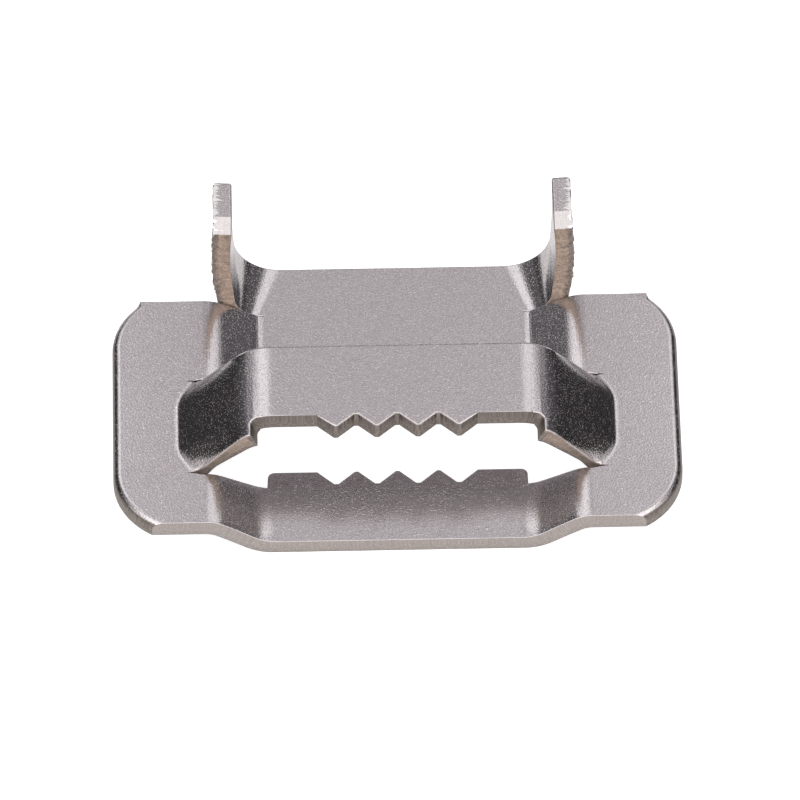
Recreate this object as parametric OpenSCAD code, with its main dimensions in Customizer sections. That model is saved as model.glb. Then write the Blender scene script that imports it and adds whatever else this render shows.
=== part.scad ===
// Strapping buckle for a 20 mm metal band, pressed from one stainless steel sheet.
// Millimetres. X runs across both cheeks, Y from the front bar to the ears, Z up.
// The undersides of the two bars lie on Z = 0, and the box round the part is centred on X and Y.

/* [Sheet] */
// Thickness of the sheet
sheet_t = 1.2; // [1.0:0.05:1.4]
// Width across both cheeks
overall_w = 38; // [37:0.5:44]
// Depth of a cheek, front edge to rear edge
cheek_d = 20; // [19:0.5:23]
// Radius of the blanked cheek corners
corner_r = 5.5; // [4.8:0.1:6]
// Distance from the front edge to the start of a front corner
corner_front = 4.65; // [3.6:0.05:4.75]
// Distance from the rear edge to the start of a rear corner
corner_rear = 4.15; // [3.4:0.05:4.75]
// Roll of the upper edge along the sides and corners
edge_roll = 0.4; // [0.2:0.05:0.6]
// Width of the sheared cuts between bars, bridge and ears
cut_gap = 0.14; // [0.1:0.02:0.3]

/* [Bars] */
// Drop of both bars below the cheeks
bar_drop = 1.65; // [1.3:0.05:1.9]
// Half length of the flat of the front bar
bar_flat = 8.25; // [7.9:0.05:8.5]
// Distance from the middle to the place where a front ramp leaves the cheek
bar_ramp_out = 12.95; // [12.7:0.05:13.2]
// Radius of both bends of a front ramp and of the outer bend of a rear one, on the upper face
bar_bend_r = 3; // [2:0.1:3.2]
// Half length of the flat of the rear bar
rear_flat = 8.75; // [8.3:0.05:8.9]
// Distance from the middle to the place where a rear ramp leaves the cheek
rear_ramp_out = 12.9; // [12.7:0.05:13.1]
// Radius of the inner bend of a rear ramp, on the upper face
rear_bend_r = 1.2; // [0.8:0.1:1.5]
// Depth of the front bar at its ends
front_bar_d = 4.5; // [4.2:0.1:5]
// How far the front bar stands out past the cheeks
front_lip = 0.3; // [0.1:0.05:0.6]
// Half length of the toothed tab of the front bar
tab_half = 8.68; // [8.2:0.02:9.2]
// Depth of the rear tab that carries the ears
rear_tab_d = 4.3; // [3.6:0.1:5]

/* [Bridge] */
// Depth of the bridge between its two cuts
bridge_d = 8.2; // [7.6:0.1:8.8]
// Rise of the bridge above the cheeks
bridge_rise = 3.85; // [3.6:0.05:4.3]
// Half length of the flat of the bridge
bridge_flat = 8.1; // [7.7:0.05:8.3]
// Radius of the bend at the top of a bridge ramp, half way between the cuts, on the upper face
crest_r = 4.5; // [3.2:0.1:5]
// Distance from the middle to the foot of a ramp, half way between the cuts
foot_middle = 14.76; // [14.4:0.02:14.8]
// Distance from the middle to the foot of a ramp, at the cuts
foot_edge = 14.1; // [13.8:0.02:14.3]
// Depth over which the foot of a ramp turns in towards a cut
foot_corner = 1.5; // [1.2:0.1:2.4]
// Draw-in of the rear edge of the bridge when it is raised
draw_in = 0.26; // [0.1:0.02:0.4]
// Half length of the recessed front edge of the bridge
recess_half = 9.78; // [9.4:0.02:10.2]
// Radius of the corners of the recess and of the tab
recess_r = 0.45; // [0.3:0.05:0.6]

/* [Teeth] */
// Number of teeth on the bridge
tooth_count = 4; // [2:1:5]
// Distance from tooth to tooth
tooth_pitch = 2.74; // [2.4:0.02:2.9]
// Depth of a tooth
tooth_depth = 1.08; // [0.8:0.02:1.15]
// Width of the flat at the tip and at the root of a tooth
tooth_flat = 0.26; // [0.16:0.02:0.4]
// Distance from the front cut to the tips of the teeth
tooth_back = 0.33; // [0.25:0.01:0.45]
// Play between the teeth and the notches of the tab, seen from above
tooth_play = 0.24; // [0.15:0.01:0.24]

/* [Ears] */
// Clear width between the ears
ear_gap = 21.4; // [20.8:0.1:22.4]
// Height of an ear above the upper face of the bars
ear_h = 8.75; // [7.5:0.05:10]
// Radius of the bend below an ear at its rear edge, on the inner face
ear_bend_r = 3.25; // [2.6:0.05:3.5]
// Radius of the bend below an ear at its front edge, on the inner face
ear_bend_r_front = 1.7; // [1.2:0.05:1.9]
// Outward lean of an ear above its bend, in degrees
ear_lean = 0.5; // [0:0.5:4]
// Outward bow of the front edge of an ear, half way up
ear_bow = 0.22; // [0:0.02:0.4]
// Length of the cut-off front corner of an ear, along its top
ear_corner = 1.02; // [0.4:0.02:1.4]
// Radius of the rear upper corner of an ear
ear_heel_r = 0.3; // [0.2:0.05:1.4]

/* [Hidden] */

bend_steps = 9;
roll_steps = 5;
foot_rows = 8;
bow_steps = 8;
arc_facets = 96;
reach = 60;
half_w = overall_w / 2;
rear_cut_y = front_bar_d + bridge_d;
ramp_end = foot_middle + 0.16;
crest_r_edge = 3.2;
foot_r_edge = 1.6;
foot_r_middle = 0.14;
bridge_y0 = front_bar_d + cut_gap / 2;
bridge_run_y = bridge_d - cut_gap;
notch_y = front_bar_d + tooth_back - tooth_play / 2;
tip_y = notch_y + tooth_play;
ear_tab = ear_gap / 2 - ear_bend_r;
ear_root = min(ear_gap / 2 - ear_bend_r_front, rear_flat);
centre_y = (cheek_d + rear_tab_d - front_lip) / 2;
base_z = bar_drop + sheet_t;

function backwards(list) = [for (i = [len(list) - 1:-1:0]) list[i]];

function mirrored(list) = [for (p = backwards(list)) [-p[0], p[1]]];

// Slope of the straight part of an S bend that falls by "fall" over the length "run"
function s_slope(run, fall, radii) =
    atan2(fall - radii, run) + atan2(radii, sqrt(run * run + fall * fall - 2 * radii * fall));

// S bend as [distance, height, slope] from its upper end at [0, fall] to its lower end at [run, 0]
function s_bend(run, fall, r_top, r_low) =
    let (slope = s_slope(run, fall, r_top + r_low))
    concat(
        [for (i = [0:bend_steps])
            let (a = slope * i / bend_steps)
            [r_top * sin(a), fall - r_top * (1 - cos(a)), a]],
        [for (i = [bend_steps:-1:0])
            let (a = slope * i / bend_steps)
            [run - r_low * sin(a), r_low * (1 - cos(a)), a]]
    );

// Section of a cheek from its inner side to its rolled outer edge
function roll_section(length) = concat(
    [[0, 0], [0, -sheet_t], [length, -sheet_t]],
    [for (i = [0:roll_steps])
        let (a = 90 * i / roll_steps)
        [length - edge_roll * (1 - cos(a)), edge_roll * (sin(a) - 1)]]
);

// Line of the toothed cut, left to right: the tab has it at its notches, the bridge at its tips
function tooth_line(y_tip) = [
    for (i = [0:tooth_count - 1])
        let (x = (i - (tooth_count - 1) / 2) * tooth_pitch)
        for (p = [[-tooth_pitch + tooth_flat, tooth_depth], [-tooth_flat, 0],
                  [tooth_flat, 0], [tooth_pitch - tooth_flat, tooth_depth]])
            [x + p[0] / 2, y_tip + p[1]]
];

// Rounded end of the toothed line on the right-hand side, from its outer side inwards
function line_end(half, y) = [
    for (i = [0:roll_steps])
        let (a = 90 * i / roll_steps)
        [half - recess_r * (1 - cos(a)), y - recess_r * (1 - sin(a))]
];

// Toothed line with both of its ends, left to right
function cut_line(half, y_tip) =
    let (end = line_end(half, y_tip + tooth_depth))
    concat(mirrored(backwards(end)), tooth_line(y_tip), backwards(end));

module along_y(y0, y1) {
    translate([0, y1, 0])
        rotate([90, 0, 0])
            linear_extrude(height = y1 - y0)
                children();
}

module plan(points) {
    translate([0, 0, -reach / 2])
        linear_extrude(height = reach)
            polygon(points);
}

module both_sides() {
    children();
    mirror([1, 0, 0])
        children();
}

// Flat cheek with a rolled side edge and corner arcs that the front and rear edges cut off.
// Its window takes the bridge, and is wider by the two sheared cuts as far as the bridge's feet.
module cheek() {
    corner_x = half_w - corner_r;
    difference() {
        intersection() {
            union() {
                translate([bar_ramp_out, 0, -sheet_t])
                    cube([corner_x - bar_ramp_out, cheek_d, sheet_t]);
                along_y(corner_front, cheek_d - corner_rear)
                    translate([corner_x, 0])
                        polygon(roll_section(corner_r));
                translate([corner_x, corner_front, 0])
                    rotate([0, 0, -90])
                        rotate_extrude(angle = 90, $fn = arc_facets)
                            polygon(roll_section(corner_r));
                translate([corner_x, cheek_d - corner_rear, 0])
                    rotate_extrude(angle = 90, $fn = arc_facets)
                        polygon(roll_section(corner_r));
            }
            translate([bar_ramp_out, 0, -reach / 2])
                cube([reach, cheek_d, reach]);
        }
        translate([0, bridge_y0, -reach / 2])
            cube([ramp_end, bridge_run_y, reach]);
        translate([0, front_bar_d - cut_gap / 2, -reach / 2])
            cube([foot_edge + 0.1, bridge_d + cut_gap, reach]);
    }
}

// Section of a bar: a flat that hangs between two S bends, and ends that lap over the cheeks
module bar_section(flat, ramp_out, inner_r) {
    half = concat(
        [[ramp_out - bar_ramp_out - 0.2, bar_drop, 0]],
        s_bend(ramp_out - flat, bar_drop, bar_bend_r, inner_r)
    );
    upper = [for (p = half) [ramp_out - p[0], p[1] - bar_drop]];
    lower = [for (p = half)
        [ramp_out - p[0] + sheet_t * sin(p[2]), p[1] - bar_drop - sheet_t * cos(p[2])]];
    polygon(concat(upper, mirrored(upper), backwards(mirrored(lower)), backwards(lower)));
}

// Front bar with its lip in front and the notched tab behind
module front_bar() {
    lip_in = bar_flat + 0.2;
    lip_out = bar_ramp_out - 0.9;
    back_y = front_bar_d - cut_gap / 2;
    intersection() {
        along_y(-front_lip, notch_y + tooth_depth + 1)
            bar_section(bar_flat, bar_ramp_out, bar_bend_r);
        plan(concat(
            [[-bar_ramp_out, 0], [-lip_out, 0], [-lip_in, -front_lip]],
            [[lip_in, -front_lip], [lip_out, 0], [bar_ramp_out, 0]],
            [[bar_ramp_out, back_y], [tab_half, back_y]],
            backwards(cut_line(tab_half, notch_y)),
            [[-tab_half, back_y], [-bar_ramp_out, back_y]]
        ));
    }
}

// Section of an ear as [X, Z], on the inner face or, with a depth, that far below it:
// the tab, a bend with its own radius, and a bowed wall that leans out up to the top
function ear_face(bend_r, bow, depth) =
    let (centre = [ear_gap / 2 - bend_r, bend_r - bar_drop])
    let (top = ear_h - bar_drop, stop = 90 - ear_lean)
    let (arc = [for (i = [0:2 * bend_steps])
        let (a = stop * i / (2 * bend_steps))
        centre + (bend_r + depth) * [sin(a), -cos(a)]])
    let (start = arc[len(arc) - 1])
    concat(
        [[ear_tab - 0.2, -bar_drop - depth]],
        arc,
        [for (i = [1:bow_steps])
            let (share = i / bow_steps, rise = (top - start[1]) * share)
            start + [rise * tan(ear_lean) + bow * sin(180 * share), rise]]
    );

// Ear with its half of the tab: the bend is tight at the cut in front and wide at the free rear edge,
// where the wall is nearly straight
module ear_bend() {
    ends = [[cheek_d + cut_gap, ear_bend_r_front, ear_bow], [cheek_d + rear_tab_d, ear_bend_r, ear_bow / 3]];
    upper = [for (e = ends) for (p = ear_face(e[1], e[2], 0)) [p[0], e[0], p[1]]];
    lower = [for (e = ends) for (p = ear_face(e[1], e[2], sheet_t)) [p[0], e[0], p[1]]];
    loft(upper, lower, len(ends));
}

// Side view of an ear as [Y, Z]: a rectangle with its front corner cut off and its rear corner rounded
function ear_outline() =
    let (y0 = cheek_d + cut_gap, y1 = cheek_d + rear_tab_d, top = ear_h - bar_drop)
    concat(
        [[y0, -reach / 2], [y0, top - 0.65 * ear_corner], [y0 + ear_corner, top]],
        [for (i = [bend_steps:-1:0])
            let (a = 90 * i / bend_steps)
            [y1 - ear_heel_r * (1 - cos(a)), top - ear_heel_r * (1 - sin(a))]],
        [[y1, -reach / 2]]
    );

// Rear bar, joined to the ear tab over the length between the two ear cuts
module rear_bar() {
    along_y(rear_cut_y + cut_gap / 2, cheek_d)
        bar_section(rear_flat, rear_ramp_out, rear_bend_r);
    translate([-ear_root, cheek_d - cut_gap, -base_z])
        cube([2 * ear_root, 2 * cut_gap, sheet_t]);
    translate([-ear_tab, cheek_d, -base_z])
        cube([2 * ear_tab, rear_tab_d, sheet_t]);
    both_sides()
        intersection() {
            ear_bend();
            rotate([90, 0, 90])
                linear_extrude(height = reach, center = true)
                    polygon(ear_outline());
        }
}

// Distance of the ramp foot from the middle, at a distance from the nearer cut
function foot_at(edge) = foot_edge + (foot_middle - foot_edge) * foot_share(edge);

function foot_share(edge) = sin(90 * min(1, edge / foot_corner));

// Ramp of the bridge: S bends lofted from cut to cut, steep at the cuts and easier between them
module bridge_ramp() {
    near = [for (i = [0:foot_rows - 1]) foot_corner * pow(i / (foot_rows - 1), 1.2)];
    rows = concat(near, [for (y = backwards(near)) bridge_run_y - y]);
    sections = [for (y = rows)
        let (edge = min(y, bridge_run_y - y))
        let (top_r = crest_r_edge + (crest_r - crest_r_edge) * foot_share(edge))
        let (foot_r = foot_r_edge + (foot_r_middle - foot_r_edge) * foot_share(edge))
        concat(s_bend(foot_at(edge) - bridge_flat, bridge_rise, top_r, foot_r),
               [[ramp_end - bridge_flat, 0, 0]])];
    upper = [for (j = [0:len(rows) - 1]) for (p = sections[j])
        [bridge_flat + p[0], row_y(rows[j], p[1]), p[1]]];
    lower = [for (j = [0:len(rows) - 1]) for (p = sections[j])
        [bridge_flat + p[0] - sheet_t * sin(p[2]), row_y(rows[j], p[1]), p[1] - sheet_t * cos(p[2])]];
    loft(upper, lower, len(rows));
}

// Closed sheet over rows of points: the upper face and the lower face hold as many rows each
module loft(upper, lower, rows) {
    n = len(upper) / rows;
    b = len(upper);
    last = b - n;
    polyhedron(
        points = concat(upper, lower),
        faces = concat(
            [for (j = [0:rows - 2]) for (k = [0:n - 2]) each quad(j * n + k, j * n + n + k, 0, 1)],
            [for (j = [0:rows - 2]) for (k = [0:n - 2]) each flipped(quad(j * n + k, j * n + n + k, b, 1))],
            [for (k = [0:n - 2]) each quad(b + k, k, 0, 1)],
            [for (k = [0:n - 2]) each flipped(quad(b + last + k, last + k, 0, 1))],
            [for (j = [0:rows - 2]) each quad(b + j * n + n, j * n + n, 0, -n)],
            [for (j = [0:rows - 2]) each quad(b + j * n + n - 1, j * n + n - 1, 0, n)]
        ),
        convexity = 4
    );
}

// Place of a loft row in Y: the rear edge comes forward as the bridge rises
function row_y(y, z) = bridge_y0 + y * (1 - draw_in * z / bridge_rise / bridge_run_y);

// Two triangles over the points low, up and the next ones along
function quad(low, up, shift, next) = [
    [low + shift, up + shift, up + shift + next],
    [low + shift, up + shift + next, low + shift + next]
];

function flipped(list) = [for (f = list) [f[0], f[2], f[1]]];

// Raised bridge with its toothed, recessed front edge
module bridge() {
    difference() {
        union() {
            translate([-bridge_flat, bridge_y0, bridge_rise - sheet_t])
                cube([2 * bridge_flat, bridge_run_y - draw_in, sheet_t]);
            both_sides()
                bridge_ramp();
        }
        plan(concat(
            [[-recess_half, -reach / 4]],
            cut_line(recess_half, tip_y),
            [[recess_half, -reach / 4]]
        ));
    }
}

module buckle() {
    color("Silver")
        translate([0, -centre_y, base_z])
            union() {
                both_sides()
                    cheek();
                front_bar();
                rear_bar();
                bridge();
            }
}

buckle();
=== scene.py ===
import math
import random

import bmesh
import bpy
from mathutils import Matrix, Vector


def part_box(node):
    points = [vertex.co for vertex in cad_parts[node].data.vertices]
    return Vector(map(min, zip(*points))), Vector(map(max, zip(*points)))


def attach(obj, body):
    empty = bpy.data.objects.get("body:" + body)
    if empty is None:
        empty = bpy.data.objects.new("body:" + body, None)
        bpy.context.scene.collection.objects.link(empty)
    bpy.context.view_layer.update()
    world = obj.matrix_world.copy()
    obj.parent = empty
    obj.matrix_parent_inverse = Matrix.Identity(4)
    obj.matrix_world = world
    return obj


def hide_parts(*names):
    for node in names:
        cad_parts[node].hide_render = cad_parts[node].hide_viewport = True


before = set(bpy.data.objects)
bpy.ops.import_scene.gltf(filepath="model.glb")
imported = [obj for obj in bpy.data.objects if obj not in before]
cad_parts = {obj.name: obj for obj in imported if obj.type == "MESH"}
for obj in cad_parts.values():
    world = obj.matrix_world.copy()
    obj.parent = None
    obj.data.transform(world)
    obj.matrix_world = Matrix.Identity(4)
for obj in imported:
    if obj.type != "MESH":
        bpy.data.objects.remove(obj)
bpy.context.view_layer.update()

# Buckle. One stainless sheet, 1.2 mm thick: its outline is cut, the bridge is sheared free of both bars
# and pressed up, the bars are pressed down, the ears are folded up, and the piece is tumbled until the
# faces are matt. Sizes are in millimetres, from the front edge of the cheeks and from their top face.
MM = 0.001
sheet_t = 1.2
half_w = 19.0
cheek_d = 20.0
corner_r = 5.5
corner_front = 4.65
corner_rear = 4.15
front_cut = 4.5
rear_cut = 12.7
half_kerf = 0.07
foot_edge = 14.1
foot_middle = 14.76
cut_end = 14.92
tab_in = 7.0
ear_start = 7.45
ear_root = 8.75
X, Y = 0, 1
snap = 1e-5


def outline(points):
    """A flat sheet with one face, from the corners of its outline."""
    sheet = bmesh.new()
    sheet.faces.new([sheet.verts.new((x, y, 0)) for x, y in points])
    return sheet


def round_corner(sheet, x, y, radius, steps):
    """Rounds the outline's corner at this place."""
    corner = min(sheet.verts, key=lambda v: (v.co - Vector((x, y, 0))).length)
    bmesh.ops.bevel(sheet, geom=[corner], offset=radius, offset_type="OFFSET", segments=steps,
                    profile=0.5, affect="VERTICES", material=-1)


def score(sheet, axis, place, part=None, trim=0):
    """Adds an edge across the sheet at this place on an axis, and trims off one side if asked."""
    faces = [f for f in sheet.faces if part is None or part(f.calc_center_median())]
    edges = {e for f in faces for e in f.edges}
    corners = {v for f in faces for v in f.verts}
    plane = Vector((0, 0, 0))
    plane[axis] = 1
    bmesh.ops.bisect_plane(sheet, geom=[*faces, *edges, *corners], dist=snap, plane_co=plane * place,
                           plane_no=plane, clear_outer=trim > 0, clear_inner=trim < 0)


def spread(start, end, steps):
    """Evenly spaced values from start to end, both included."""
    return [start + (end - start) * i / steps for i in range(steps + 1)]


# Teeth along the front edge of the bridge, with the notches that they were cut from.
teeth_per_side = 2
tooth_pitch = 2.74
tooth_depth = 1.08
tooth_flat = 0.26
tip_y = 4.95
notch_y = 4.71


def tooth_line(low, high):
    """The right half of the zigzag, from the middle outward, with teeth down to low and roots on high."""
    points = []
    for tooth in range(teeth_per_side):
        middle = tooth_pitch * (tooth + 0.5)
        root = (tooth_pitch - tooth_flat) / 2
        points += [(middle - root, high), (middle - tooth_flat / 2, low),
                   (middle + tooth_flat / 2, low), (middle + root, high)]
    return points


# Cheeks and both bars: the right half of the sheet round the two sheared cuts, which narrow at their ends.
# The arcs of the corners start outside the cheeks, whose front and rear edges then trim them.
arc_front = corner_front - corner_r
arc_rear = cheek_d - corner_rear + corner_r
arc_steps = 28
tab_half = 8.68
tab_corner = 0.45
tab_y = notch_y + tooth_depth
small_arc_steps = 5
bar_taper = 0.5
rim = outline([
    (0, arc_front), (half_w, arc_front), (half_w, arc_rear), (0, arc_rear),
    (0, rear_cut + half_kerf), (foot_edge - bar_taper, rear_cut + half_kerf), (foot_edge, rear_cut),
    (cut_end, rear_cut), (cut_end, front_cut), (foot_edge, front_cut),
    (foot_edge - bar_taper, front_cut - half_kerf), (tab_half, front_cut - half_kerf),
    (tab_half, tab_y), *reversed(tooth_line(notch_y, tab_y)), (0, tab_y)])
round_corner(rim, half_w, arc_front, corner_r, arc_steps)
round_corner(rim, half_w, arc_rear, corner_r, arc_steps)
round_corner(rim, tab_half, tab_y, tab_corner, small_arc_steps)
score(rim, Y, 0, trim=-1)
score(rim, Y, cheek_d, trim=1)

# Score lines for the bends of the bars, for the crown of the front bar, and for the rows of the bridge's
# ramps, where the two regions meet.
bar_drop = 1.65
bar_flat = 8.25
bar_ramp_out = 12.95
bar_bend_r = 3.0
rear_flat = 8.75
rear_ramp_out = 12.9
rear_bend_r = 1.2
tab_base = 4.2
tab_flat = 7.9
crown_lines = [0.45, 0.9, 1.4, 2.0, 2.7, 3.4]
row_steps = [0.33, 0.55, 0.8, 1.05, 1.3, 1.6, 1.9, 2.2, 2.5]
rows = [front_cut + half_kerf + s for s in row_steps] + [rear_cut - half_kerf - s for s in row_steps]
bar_bends = spread(bar_flat, bar_ramp_out, 26)
rear_bends = spread(rear_flat, rear_ramp_out, 30)
beside_tab = bar_bends[4]
score(rim, X, beside_tab)
score(rim, Y, tab_base, part=lambda c: c.x < beside_tab and c.y < rear_cut)
for bend in bar_bends:
    score(rim, X, bend, part=lambda c: c.y < tab_base or rear_cut > c.y and c.x > tab_half)
score(rim, X, tab_flat, part=lambda c: c.y < rear_cut)
for line in crown_lines:
    score(rim, Y, line, part=lambda c: c.y < tab_base and c.x < bar_ramp_out)
for bend in [*rear_bends, tab_in, ear_root]:
    score(rim, X, bend, part=lambda c: c.y > rear_cut)
score(rim, X, cut_end)
for row in rows:
    score(rim, Y, row, part=lambda c: c.x > cut_end)


def s_bend(d, run, fall, top_r, low_r):
    """Height left after going out by d, in a bend that falls over run through two arcs and a straight."""
    both = top_r + low_r
    straight = math.sqrt(run ** 2 + fall ** 2 - 2 * both * fall)
    slope = math.atan2(fall - both, run) + math.atan2(both, straight)
    top_end = top_r * math.sin(slope)
    low_start = run - low_r * math.sin(slope)
    if d <= 0:
        return fall
    if d < top_end:
        return fall - top_r + math.sqrt(top_r ** 2 - d ** 2)
    if d < low_start:
        return fall - top_r * (1 - math.cos(slope)) - (d - top_end) * math.tan(slope)
    if d < run:
        return low_r - math.sqrt(low_r ** 2 - (run - d) ** 2)
    return 0.0


# The bars are pressed down, which pushes the front edge out a little and leaves the front bar slightly
# crowned.
crown = 0.15
crown_sink = 0.06
lip = 0.3
lip_full = 8.3
lip_end = 12.2
front_line = 0.01
for corner in rim.verts:
    if corner.co.y < front_line:
        pushed = min(1, max(0, (lip_end - corner.co.x) / (lip_end - lip_full)))
        corner.co.y -= lip * pushed * pushed * (3 - 2 * pushed)
    in_front = corner.co.y < rear_cut
    if in_front:
        ramp_out, bar_half, low_bend_r = bar_ramp_out, bar_flat, bar_bend_r
    else:
        ramp_out, bar_half, low_bend_r = rear_ramp_out, rear_flat, rear_bend_r
    height = s_bend(ramp_out - corner.co.x, ramp_out - bar_half, bar_drop, bar_bend_r, low_bend_r)
    corner.co.z = height - bar_drop
    if in_front:
        forward = max(0, 1 - corner.co.y / tab_base)
        corner.co.z += (crown * (1 - forward ** 2) - crown_sink) * (1 - height / bar_drop)


def between(first, second, share):
    """The value at this share of the way from first to second."""
    return first + (second - first) * share


# Ears: the ends of the tab behind the rear bar, folded up. The fold is tight at the cut and wide at the
# rear. On the flat sheet it takes the same short length everywhere, so that each score line becomes a
# straight of the cone.
ear_y = 20.04
ear_end = 24.3
ear_inside = 10.7
ear_bend_r_front = 1.7
ear_bend_r_rear = 3.25
ear_lean = 0.5
ear_turn = math.radians(90 - ear_lean)
ear_bow_front = 0.22
ear_bow_rear = 0.073
ear_top = 7.1
ear_corner = 1.02
ear_corner_down = 0.66
ear_heel = 0.3
fold_length = 1.0
fold_end = ear_start + fold_length
ear_straight = ear_top + bar_drop - ear_bend_r_front * (1 - math.cos(ear_turn))
ear_long = fold_end + ear_straight
last_line = ear_long - 0.8
tab_stretch = (ear_inside - ear_bend_r_front - tab_in) / (ear_start - tab_in)
root_mark = tab_in + (ear_root - tab_in) / tab_stretch
ear = outline([
    (0, cheek_d), (root_mark, cheek_d), (root_mark, ear_y), (ear_long - ear_corner_down, ear_y),
    (ear_long, ear_y + ear_corner), (ear_long, ear_end), (0, ear_end)])
round_corner(ear, ear_long, ear_end, ear_heel, small_arc_steps)
for bend in [tab_in, *spread(ear_start, fold_end, 26), *spread(fold_end, last_line, 10)[1:]]:
    score(ear, X, bend)
for corner in ear.verts:
    back = max(0, (corner.co.y - ear_y) / (ear_end - ear_y))
    radius = between(ear_bend_r_front, ear_bend_r_rear, back)
    bow = between(ear_bow_front, ear_bow_rear, back)
    start = ear_inside - radius
    turned = ear_turn * min(1, max(0, corner.co.x - ear_start) / fold_length)
    climbed = max(0, corner.co.x - fold_end) / ear_straight
    rise = (ear_top + bar_drop - radius * (1 - math.cos(ear_turn))) * climbed
    corner.co.z = radius * (1 - math.cos(turned)) + rise - bar_drop
    if corner.co.x > ear_start:
        bowed = bow * math.sin(math.pi * climbed)
        corner.co.x = start + radius * math.sin(turned) + rise / math.tan(ear_turn) + bowed
    elif corner.co.x > tab_in:
        corner.co.x = tab_in + (corner.co.x - tab_in) * (start - tab_in) / (ear_start - tab_in)

# Bridge: pressed up between the two cuts. Its feet run in at the cuts, and its rear edge is drawn forward.
bridge_rise = 3.85
flat_middle = 8.1
flat_edge = 8.4
crest_r_middle = 4.5
crest_r_edge = 3.2
lift_edge = 13.8
foot_turn = 2.4
foot_r_middle = 0.35
foot_r_edge = 1.3
draw_in = 0.26
bridge_taper = 0.6
recess_half = 9.78
recess_corner = 0.45
recess_y = tip_y + tooth_depth
ramp_start = 10.0
bridge = outline([
    (0, recess_y), *tooth_line(tip_y, recess_y), (recess_half, recess_y),
    (recess_half, front_cut + half_kerf), (foot_middle - bridge_taper, front_cut + half_kerf),
    (foot_middle, front_cut), (cut_end, front_cut), (cut_end, rear_cut), (foot_middle, rear_cut),
    (foot_middle - bridge_taper, rear_cut - half_kerf), (0, rear_cut - half_kerf)])
round_corner(bridge, recess_half, recess_y, recess_corner, small_arc_steps)
before_recess = 9.2
past_corner = 9.55
crest_bends = [*spread(flat_middle, before_recess, 8), past_corner]
foot_bends = [foot_middle - 0.3, foot_middle - 0.2, foot_middle - 0.1, foot_middle]
ramp_bends = [*spread(ramp_start, foot_bends[0], 32), *foot_bends[1:]]
for bend in crest_bends + ramp_bends:
    score(bridge, X, bend)
for row in rows:
    score(bridge, Y, row, part=lambda c: c.x > ramp_start)
for corner in bridge.verts:
    behind = corner.co.y - front_cut - half_kerf
    ahead = rear_cut - half_kerf - corner.co.y
    inward = math.sin(math.pi / 2 * min(1, max(0, min(behind, ahead)) / foot_turn))
    foot = between(foot_edge, foot_middle, inward)
    lift = between(lift_edge, foot_middle, inward)
    foot_r = between(foot_r_edge, foot_r_middle, inward)
    crest_r = between(crest_r_edge, crest_r_middle, inward)
    flat = between(flat_edge, flat_middle, inward)
    if corner.co.x > foot_middle:
        corner.co.x = foot + (corner.co.x - foot_middle) * (cut_end - foot) / (cut_end - foot_middle)
    elif corner.co.x > ramp_start:
        run_in = (corner.co.x - ramp_start) * (foot - ramp_start) / (foot_middle - ramp_start)
        corner.co.x = ramp_start + run_in
    corner.co.z = s_bend(corner.co.x - flat, lift - flat, bridge_rise, crest_r, foot_r)
    corner.co.y -= draw_in * corner.co.z / bridge_rise * behind / (behind + ahead)

# The three regions are one sheet. It is mirrored to the left, then given its thickness downward.
weld = 0.002
shell = bmesh.new()
for region in (rim, ear, bridge):
    carried = bpy.data.meshes.new("region")
    region.to_mesh(carried)
    region.free()
    shell.from_mesh(carried)
    bpy.data.meshes.remove(carried)
bmesh.ops.remove_doubles(shell, verts=shell.verts, dist=weld)
bmesh.ops.mirror(shell, geom=[*shell.verts, *shell.edges, *shell.faces], matrix=Matrix(), merge_dist=weld,
                 axis="X")
bmesh.ops.remove_doubles(shell, verts=shell.verts, dist=weld)
bmesh.ops.recalc_face_normals(shell, faces=shell.faces)
top_face = max(shell.faces, key=lambda f: f.calc_center_median().z - abs(f.calc_center_median().x))
if top_face.normal.z < 0:
    bmesh.ops.reverse_faces(shell, faces=shell.faces)

# Each corner keeps how deep in the sheet it lies, 0 or 1, and a place: its own, or along the cut edges the
# one above it on the upper face. Each face keeps whether it is a cut edge of the sheet.
depth = shell.verts.layers.float.new("depth")
above = shell.verts.layers.float_vector.new("above")
cut = shell.faces.layers.float.new("cut")
upper = set(shell.verts)
bmesh.ops.solidify(shell, geom=shell.faces[:], thickness=sheet_t)
for corner in shell.verts:
    corner[depth] = 0.0 if corner in upper else 1.0
    corner[above] = corner.co * MM
for edge in shell.edges:
    top, bottom = sorted(edge.verts, key=lambda v: v[depth])
    if top[depth] < bottom[depth]:
        bottom[above] = top.co * MM
for face in shell.faces:
    levels = {corner in upper for corner in face.verts}
    face[cut] = 1.0 if len(levels) == 2 else 0.0


def on_rim(edge):
    """Whether an edge lies between a face of the sheet and one of its cut edges."""
    return {face[cut] for face in edge.link_faces} == {0.0, 1.0}


# Burr: the edges round the outer face of each ear are torn, so they run unevenly.
burr_step = 0.13
burr_out = 0.13
burr = random.Random(7)
burred = [e for e in shell.edges if on_rim(e) and min(v[depth] for v in e.verts) > 0.5
          and min(v.co.y for v in e.verts) > cheek_d and min(v.co.z for v in e.verts) > 0]
for edge in burred:
    added = int(edge.calc_length() / burr_step)
    if added:
        made = bmesh.ops.subdivide_edges(shell, edges=[edge], cuts=added)
        for corner in made["geom_inner"]:
            if isinstance(corner, bmesh.types.BMVert):
                corner.co.x += math.copysign(burr.uniform(-burr_out, burr_out / 2), corner.co.x)
                corner.co.y += burr.uniform(-burr_out, burr_out) / 2
                corner.co.z += burr.uniform(-burr_out, burr_out) / 2

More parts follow.
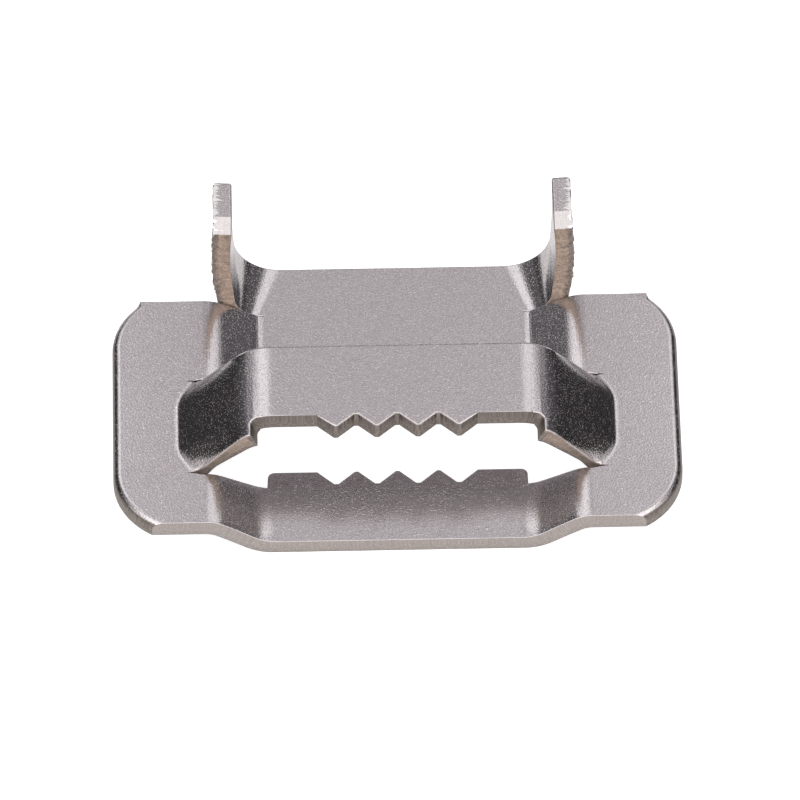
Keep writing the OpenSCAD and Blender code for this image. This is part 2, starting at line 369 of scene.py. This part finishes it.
# Edges: wide rolls on the blanked sides, the teeth and the bridge's rear, small ones where the sheet was
# sheared, and hardly any on the ends. The rolls of the teeth are wide but shallow.
side_roll = 0.55
shear_roll = 0.16
end_roll = 0.06
under_roll = 0.08
back_roll = 0.32
tooth_roll = 0.26
tooth_roll_down = 0.1
tooth_roll_reach = 1.1 * tooth_roll
roll_steps = 4
near = 0.05
sides_from = cut_end + 0.5
feet_from = foot_edge - 0.6
crest_from = bridge_rise - 0.1
toothed_half = teeth_per_side * tooth_pitch
raised_from = 0.3
back_from = recess_y + 0.5


def roll_for(edge):
    """The roll that an edge of the sheet gets, or 0 for an edge that stays as it is."""
    if not on_rim(edge):
        return 0
    middle = (edge.verts[0].co + edge.verts[1].co) / 2
    if edge.verts[0][depth] > 0.5:
        return 0 if middle.y > cheek_d and middle.z > 0 else under_roll
    if middle.y > cheek_d + near:
        return shear_roll
    if middle.y > cheek_d - near or middle.y < front_line:
        return end_roll
    if abs(middle.x) > sides_from:
        return side_roll
    if tip_y - near < middle.y < recess_y + near and middle.z > crest_from:
        return tooth_roll if abs(middle.x) < toothed_half else end_roll
    if abs(middle.x) > feet_from:
        return 0
    return back_roll if middle.z > raised_from and middle.y > back_from else shear_roll


for roll in (side_roll, tooth_roll, back_roll, shear_roll, under_roll, end_roll):
    rolled = [e for e in shell.edges if roll_for(e) == roll]
    made = bmesh.ops.bevel(shell, geom=rolled, offset=roll, offset_type="OFFSET", segments=roll_steps,
                           profile=0.5, affect="EDGES", material=-1, clamp_overlap=False)
    if roll == tooth_roll:
        for corner in made["verts"]:
            if abs(corner.co.x) < toothed_half and corner.co.z > bridge_rise - tooth_roll_reach:
                corner.co.z = bridge_rise - (bridge_rise - corner.co.z) * tooth_roll_down / roll
sliver = 0.0005
bmesh.ops.dissolve_degenerate(shell, dist=sliver, edges=shell.edges)

# The faces beside the burr are fanned from their middle, so that no two neighbours split along one line.
bmesh.ops.poke(shell, faces=[f for f in shell.faces if len(f.verts) > 4 and f[cut] < 0.5
                             and f.calc_center_median().y > cheek_d])

# Where the cut edges are browner, get painted highlights along the burr, or are tumbled almost like a face,
# and which creases stay sharp.
ear_brown = 1.0
front_brown = 0.3
ramp_brown = 0.55
ear_top_cut = 0.05
front_edge_cut = 0.6
ramp_edge_d = 0.6
sharp_from = math.radians(29)
brown = shell.faces.layers.float.new("brown")
highlit_burr = shell.faces.layers.float.new("highlit_burr")
for face in shell.faces:
    face.smooth = True
    face.normal_update()
    if face[cut] < 0.5:
        continue
    middle = face.calc_center_median()
    if middle.y > cheek_d:
        face[brown] = ear_brown if face.normal.y < -0.7 else 0.0
        face[cut] = ear_top_cut if face.normal.z > 0.5 else 1.0
        # Upward faces of the ear's cut edge take the nicks along the burr, painted near-white as
        # highlights.
        face[highlit_burr] = 1.0 if face.normal.z > 0.3 else 0.0
    elif middle.y < near and face.normal.y < -0.7:
        face[brown] = front_brown
        face[cut] = front_edge_cut
    elif 0 < middle.y - front_cut < ramp_edge_d and abs(middle.x) > recess_half and face.normal.y < -0.5:
        face[brown] = ramp_brown
for edge in shell.edges:
    if len(edge.link_faces) == 2 and edge.calc_face_angle() > sharp_from:
        edge.smooth = False

# The sheet goes into the shared frame.
box_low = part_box("buckle")[0]
bmesh.ops.scale(shell, vec=(MM, MM, MM), verts=shell.verts)
bmesh.ops.translate(shell, vec=(0, box_low.y + lip * MM, bar_drop * MM + sheet_t * MM), verts=shell.verts)
sheet_mesh = bpy.data.meshes.new("buckle_sheet")
shell.to_mesh(sheet_mesh)
shell.free()
buckle = bpy.data.objects.new("buckle_sheet", sheet_mesh)
bpy.context.scene.collection.objects.link(buckle)
even = buckle.modifiers.new("even faces", "WEIGHTED_NORMAL")
even.keep_sharp = True


class Link:
    """The output of a shader node. Sums on it add Math nodes."""

    def __init__(self, tree, socket=None):
        self.tree = tree
        self.socket = socket

    def node(self, kind, settings=None, sockets=None, out=0):
        """Adds a node: its settings first, then the values or links of its sockets."""
        made = self.tree.nodes.new(kind)
        for name, value in (settings or {}).items():
            setattr(made, name, value)
        for name, value in (sockets or {}).items():
            if isinstance(value, Link):
                self.tree.links.new(value.socket, made.inputs[name])
            else:
                made.inputs[name].default_value = value
        return Link(self.tree, made.outputs[out] if made.outputs else None)

    def maths(self, operation, first, second):
        """Adds a Math node on two values."""
        return self.node("ShaderNodeMath", {"operation": operation}, {0: first, 1: second})

    def __add__(self, other):
        return self.maths("ADD", self, other)

    def __radd__(self, other):
        return self.maths("ADD", other, self)

    def __sub__(self, other):
        return self.maths("SUBTRACT", self, other)

    def __rsub__(self, other):
        return self.maths("SUBTRACT", other, self)

    def __mul__(self, other):
        return self.maths("MULTIPLY", self, other)

    def __rmul__(self, other):
        return self.maths("MULTIPLY", other, self)

    def step(self, low, high):
        """0 below low, 1 above high, smooth between."""
        return self.node("ShaderNodeMapRange", {"interpolation_type": "SMOOTHSTEP"},
                         {"Value": self, "From Min": low, "From Max": high})

    def mix(self, first, second):
        """The colour between first and second at this share."""
        return self.node("ShaderNodeMix", {"data_type": "RGBA"}, {0: self, 6: first, 7: second}, out=2)

    def noise(self, scale, detail=0, roughness=0.5):
        """Noise over this place, with about this many lumps to the metre."""
        return self.node("ShaderNodeTexNoise", sockets={
            "Vector": self, "Scale": scale, "Detail": detail, "Roughness": roughness})

    def attribute(self, name, out="Fac"):
        """A value that the mesh carries under this name."""
        return self.node("ShaderNodeAttribute", {"attribute_name": name}, out=out)


# Tumbled stainless steel: a fine matt grain, with bright specks painted into the colour as glints. The
# sheared edges are burnished near the upper face and torn below, with marks that run through the thickness.
# The browned ones are mottled, and the tops of the ears have nicks along the burr, with white highlights
# painted on them.
face_dark = (0.575, 0.545, 0.555, 1)
face_light = (0.665, 0.635, 0.64, 1)
painted_glint_white = (0.9, 0.88, 0.88, 1)
burnished_dark = (0.19, 0.167, 0.155, 1)
burnished_light = (0.32, 0.285, 0.265, 1)
torn_dark = (0.205, 0.178, 0.158, 1)
torn_light = (0.38, 0.34, 0.31, 1)
brown_dark = (0.43, 0.32, 0.25, 1)
brown_light = (0.74, 0.58, 0.47, 1)
painted_highlight_white = (0.95, 0.93, 0.92, 1)
contrast = (0.3, 0.7)
grain_height = 0.00008
steel = bpy.data.materials.new("tumbled_steel")
steel.use_nodes = True
steel.node_tree.nodes.clear()
steel_nodes = Link(steel.node_tree)
spot = steel_nodes.node("ShaderNodeTexCoord", out="Object")
grain = spot.noise(8000, detail=1)
pits = spot.noise(9000)
mottle = spot.noise(1500, detail=4, roughness=0.7)
marks = steel_nodes.attribute("above", out="Vector").noise(7000, detail=2, roughness=0.7)
sheared = steel_nodes.attribute("cut")
browned = steel_nodes.attribute("brown")
highlit_ear_tops = steel_nodes.attribute("highlit_burr")
down = steel_nodes.attribute("depth")


def ragged_depth(unevenness):
    """How deep in the sheet a place lies, made uneven along the edge by the marks."""
    return down + marks * unevenness - unevenness / 2


glints = pits.step(0.64, 0.74)
# Painted glints: bright specks put into the steel's colour to stand in for sparkle of light.
painted_glints = pits.step(0.77, 0.83)
torn = ragged_depth(0.5).step(0.35, 0.6)
worn_bright = ragged_depth(0.6).step(0.6, 0.85)
blotches = mottle.step(0.48, 0.6)
tan = browned * (1 - worn_bright * 0.8) * (1 - blotches * 0.4)
# Nicks along the burr: a little relief, and a near-white colour that paints highlights on them.
highlit_nicks = highlit_ear_tops * ragged_depth(1.4).step(0.8, 0.92)
plain_face = (grain * 0.7 + mottle * 0.3).step(*contrast).mix(face_dark, face_light)
face_colour = painted_glints.mix(plain_face, painted_glint_white)
burnished_cut = marks.step(*contrast).mix(burnished_dark, burnished_light)
torn_cut = grain.step(*contrast).mix(torn_dark, torn_light)
tan_cut = (grain * 0.6 + marks * 0.4).step(*contrast).mix(brown_dark, brown_light)
cut_colour = tan.mix(torn.mix(burnished_cut, torn_cut), tan_cut)
colour = highlit_nicks.mix(sheared.mix(face_colour, cut_colour), painted_highlight_white)
metal = 1 - sheared * torn * 0.25 - tan * 0.75 - highlit_nicks * 0.5
rough = 0.19 + sheared * 0.12 + sheared * torn * 0.15
relief = grain * 0.25 + glints * 0.18 + sheared * (marks + torn * grain) * 0.8 + highlit_nicks * 0.5
bumps = steel_nodes.node("ShaderNodeBump", sockets={
    "Strength": 0.5, "Distance": grain_height, "Height": relief})
shader = steel_nodes.node("ShaderNodeBsdfPrincipled", sockets={
    "Base Color": colour, "Metallic": metal, "Roughness": rough, "Normal": bumps})
steel_nodes.node("ShaderNodeOutputMaterial", sockets={"Surface": shader})
sheet_mesh.materials.append(steel)

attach(buckle, "root")
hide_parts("buckle")

# Floor. A wide sheet of white card that the buckle stands on; it fills the picture.
# It glows for the camera, so at most a faint shadow shows on it, and the steel mirrors little of that glow.
floor_half = 3.0
card_white = (0.8, 0.8, 0.8, 1)
card_glow = 0.76
glow_in_steel = 0.16
floor_sheet = bmesh.new()
bmesh.ops.create_grid(floor_sheet, x_segments=1, y_segments=1, size=floor_half)
floor_mesh = bpy.data.meshes.new("floor")
floor_sheet.to_mesh(floor_mesh)
floor_sheet.free()
floor = bpy.data.objects.new("floor", floor_mesh)
bpy.context.scene.collection.objects.link(floor)
card = bpy.data.materials.new("white_card")
card.use_nodes = True
card.node_tree.nodes.clear()
card_nodes = Link(card.node_tree)
in_view = card_nodes.node("ShaderNodeLightPath", out="Is Camera Ray")
in_steel = card_nodes.node("ShaderNodeLightPath", out="Is Glossy Ray")
through = card_nodes.node("ShaderNodeLightPath", out="Is Transmission Ray")
seen = in_view + in_steel * glow_in_steel + through
lit = card_nodes.node("ShaderNodeBsdfDiffuse", sockets={"Color": card_white})
white = card_nodes.node("ShaderNodeEmission", sockets={"Color": (1, 1, 1, 1), "Strength": card_glow})
bright = card_nodes.node("ShaderNodeAddShader", sockets={0: lit, 1: white})
shown = card_nodes.node("ShaderNodeMixShader", sockets={0: seen, 1: lit, 2: bright})
card_nodes.node("ShaderNodeOutputMaterial", sockets={"Surface": shown})
floor_mesh.materials.append(card)

# Light. A pale room that is dark low down, in front of the buckle and behind it, and at both sides behind.
# A bright window stands at each side in front. Three soft lamps shine: two behind and one over the front.
front_air = (0.3, 0.275, 0.256, 1)
rear_air = (0.53, 0.503, 0.52, 1)
dark_air = (0.038, 0.038, 0.045, 1)
window_light = (1.0, 0.96, 0.94, 1)
side_darkness = 0.92
room = bpy.data.worlds.new("room")
room.use_nodes = True
room.node_tree.nodes.clear()
room_nodes = Link(room.node_tree)
way = room_nodes.node("ShaderNodeTexCoord", out="Generated")
sideways = room_nodes.node("ShaderNodeSeparateXYZ", sockets={"Vector": way}, out="X")
rearward = room_nodes.node("ShaderNodeSeparateXYZ", sockets={"Vector": way}, out="Y")
upward = room_nodes.node("ShaderNodeSeparateXYZ", sockets={"Vector": way}, out="Z")
aside = room_nodes.maths("ABSOLUTE", sideways, 0)
open_air = rearward.step(-0.25, 0.25).mix(front_air, rear_air)
low_down = (1 - upward.step(0.15, 0.45)) * (1 - aside.step(0.15, 0.3))
dark_side = aside.step(0.46, 0.61) * rearward.step(0.2, 0.5)
dim = room_nodes.maths("MAXIMUM", dark_side * side_darkness, low_down)
windows = aside.step(0.4, 0.6) * (1 - rearward.step(-0.1, 0.1)) * upward.step(0.1, 0.3)
glow = windows.mix(dim.mix(open_air, dark_air), window_light)
air = room_nodes.node("ShaderNodeBackground", sockets={"Color": glow, "Strength": 1.0})
room_nodes.node("ShaderNodeOutputWorld", sockets={"Surface": air})
bpy.context.scene.world = room


def lamp(around, up, far, size, power):
    """A square soft lamp that faces the buckle. Degrees go around from the rear and up from the floor."""
    data = bpy.data.lights.new("soft lamp", "AREA")
    data.size = size
    data.energy = power
    soft_lamp = bpy.data.objects.new("soft lamp", data)
    bearing = math.radians(around)
    climb = math.radians(up)
    outward = math.cos(climb)
    away = Vector((math.sin(bearing) * outward, math.cos(bearing) * outward, math.sin(climb)))
    soft_lamp.location = away * far
    soft_lamp.rotation_mode = "QUATERNION"
    soft_lamp.rotation_quaternion = away.to_track_quat("Z", "Y")
    bpy.context.scene.collection.objects.link(soft_lamp)


lamp(around=-25, up=47, far=0.6, size=0.24, power=0.14)
lamp(around=25, up=47, far=0.6, size=0.24, power=0.115)
lamp(around=180, up=64, far=0.9, size=1.7, power=9.5)

# Dark cards. Two black boards stand on the floor beside the buckle and reach back past it, for its rolled
# sides and steep faces to mirror. The camera doesn't see them, and they throw no shadow.
board_far = 0.036
board_wide = 0.06
board_high = 0.015
board_back = 0.022
board_black = (0.02, 0.02, 0.02, 1)
board_rough = 0.9
quarter_turn = math.pi / 2
black = bpy.data.materials.new("black_card")
black.use_nodes = True
black_shader = black.node_tree.nodes["Principled BSDF"]
black_shader.inputs["Base Color"].default_value = board_black
black_shader.inputs["Roughness"].default_value = board_rough
for side in (-1, 1):
    board = bmesh.new()
    bmesh.ops.create_grid(board, x_segments=1, y_segments=1, size=0.5)
    bmesh.ops.scale(board, vec=(board_wide, board_high, 1), verts=board.verts)
    bmesh.ops.rotate(board, matrix=Matrix.Rotation(quarter_turn, 3, "X"), verts=board.verts)
    bmesh.ops.translate(board, vec=(0, board_far, board_high / 2), verts=board.verts)
    bmesh.ops.rotate(board, matrix=Matrix.Rotation(-side * quarter_turn, 3, "Z"), verts=board.verts)
    bmesh.ops.translate(board, vec=(0, board_back, 0), verts=board.verts)
    board_mesh = bpy.data.meshes.new("dark card")
    board.to_mesh(board_mesh)
    board.free()
    board_mesh.materials.append(black)
    dark_card = bpy.data.objects.new("dark card", board_mesh)
    dark_card.visible_camera = False
    dark_card.visible_diffuse = False
    dark_card.visible_shadow = False
    bpy.context.scene.collection.objects.link(dark_card)

# Camera. A long lens that looks down on the buckle from the front, a little from its left,
# and is turned slightly about its own axis.
aim = Vector((0.265, -1.34, 2.85)) * MM
tilt = math.radians(48.01)
yaw = math.radians(0.992)
lean = math.radians(-0.272)
camera_far = 0.7999
look = Vector((math.sin(yaw) * math.cos(tilt), math.cos(yaw) * math.cos(tilt), -math.sin(tilt)))
level = Vector((math.cos(yaw), -math.sin(yaw), 0))
upright = level.cross(look)
picture_right = level * math.cos(lean) + upright * math.sin(lean)
picture_up = upright * math.cos(lean) - level * math.sin(lean)
camera_data = bpy.data.cameras.new("camera")
camera_data.sensor_width = 36
camera_data.lens = 537.1
camera_data.clip_start = 0.05
camera_data.clip_end = 20
camera = bpy.data.objects.new("camera", camera_data)
turned_to_aim = Matrix((picture_right, picture_up, -look)).transposed().to_4x4()
camera.matrix_world = Matrix.Translation(aim - look * camera_far) @ turned_to_aim
bpy.context.scene.collection.objects.link(camera)
bpy.context.scene.camera = camera
bpy.context.scene.view_settings.view_transform = "Standard"
